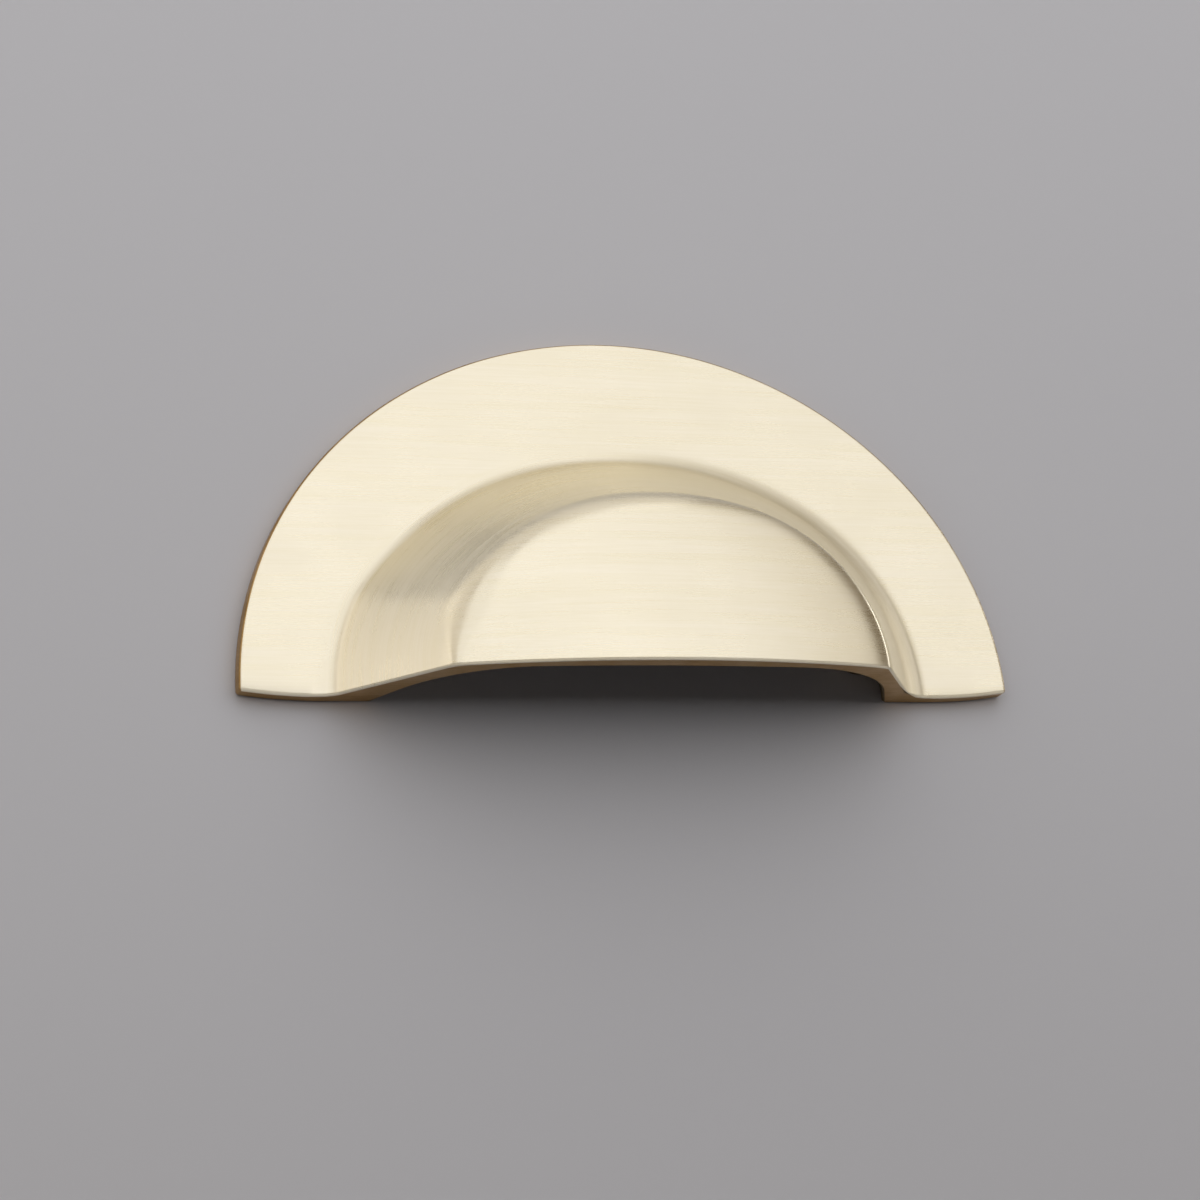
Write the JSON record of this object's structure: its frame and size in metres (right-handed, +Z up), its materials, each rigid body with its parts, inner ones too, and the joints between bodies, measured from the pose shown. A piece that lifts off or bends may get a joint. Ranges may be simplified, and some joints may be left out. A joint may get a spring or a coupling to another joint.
{
  "type": "cup pull",
  "caption": "Half-moon drawer pull cast in one piece: a flat oval flange with a hollow cup for the fingers, open below, fixed from behind.",
  "frame": {"origin": "on the flat back of the flange, above the cup, on the upright centre line, 38 mm above the bottom edge", "axes": "+X to the right as seen from the front, along the bottom edge; +Y out of the back, into the drawer front; +Z up"},
  "size_m": [0.104, 0.0195, 0.048],
  "materials": {
    "satin_brass": "satin, with fine brushing lines, unlacquered and evenly pale"
  },
  "bodies": {
    "root": {"pull_body": "satin_brass"}
  },
  "joints": []
}
